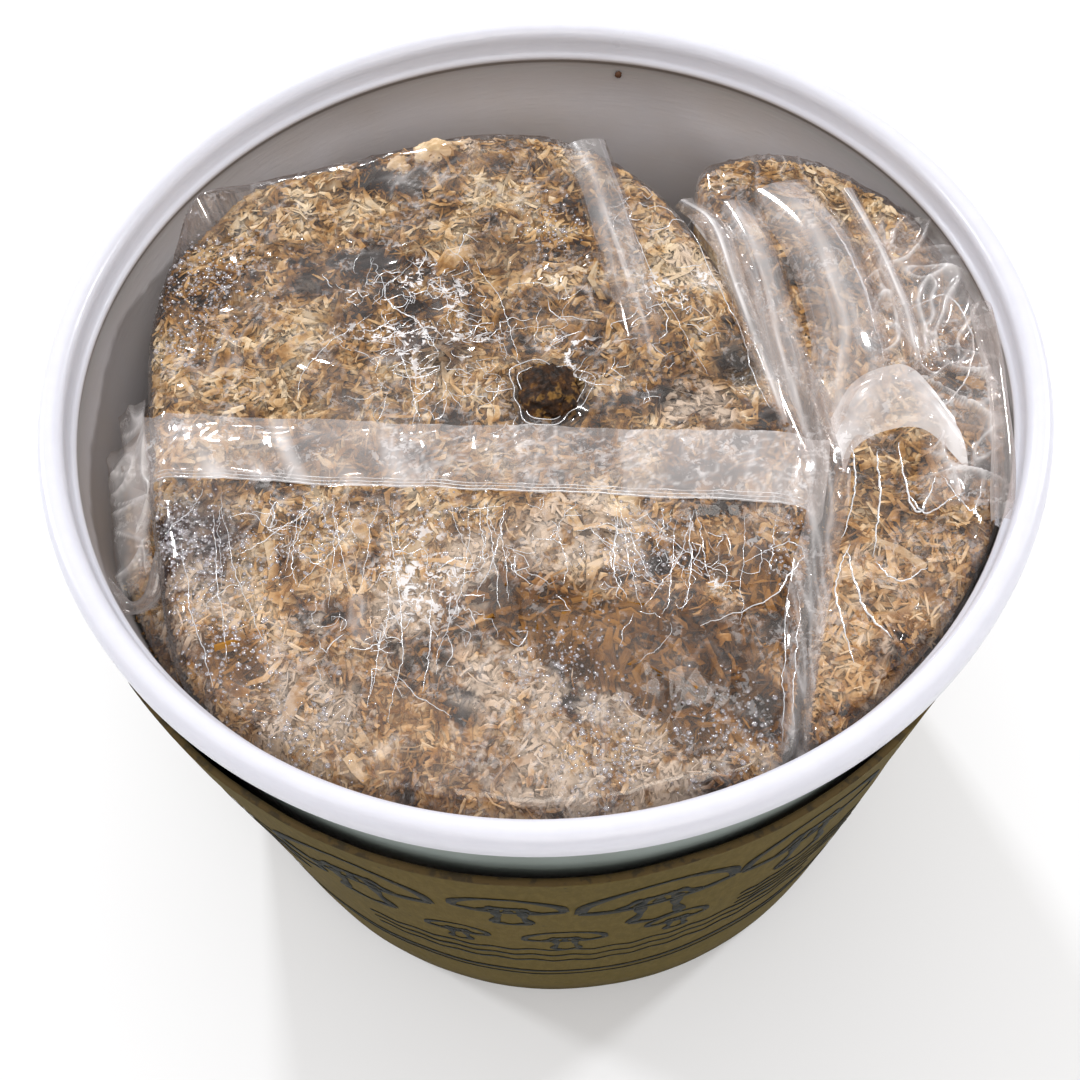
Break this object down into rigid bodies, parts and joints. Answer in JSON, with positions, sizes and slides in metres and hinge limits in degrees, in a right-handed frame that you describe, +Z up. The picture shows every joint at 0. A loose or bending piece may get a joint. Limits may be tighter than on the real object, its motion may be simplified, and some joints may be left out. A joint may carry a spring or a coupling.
{
  "type": "mushroom grow kit of substrate bags in a tub",
  "caption": "Round plastic tub in a cardboard sleeve, filled with clear bags of colonised straw substrate for growing oyster mushrooms.",
  "frame": {"origin": "middle of the tub's underside, on the table", "axes": "+Z up, -Y towards the front, where the camera stands, +X to the right"},
  "size_m": [0.28, 0.28, 0.2198],
  "materials": {
    "white_plastic": "moulded white plastic, smooth and slightly glossy",
    "kraft_card": "unbleached kraft board with a rough-cut top edge and faded dark ink",
    "clear_film": "clear crinkled film, glossy, with condensation inside",
    "colonised_straw": "chopped damp straw bound by white mycelium"
  },
  "bodies": {
    "root": {"tub": "white_plastic", "sleeve": "kraft_card", "main_bag_film": "clear_film", "main_substrate": "colonised_straw", "right_bag_film": "clear_film", "right_substrate": "colonised_straw", "left_bag_film": "clear_film", "left_substrate": "colonised_straw"}
  },
  "joints": []
}
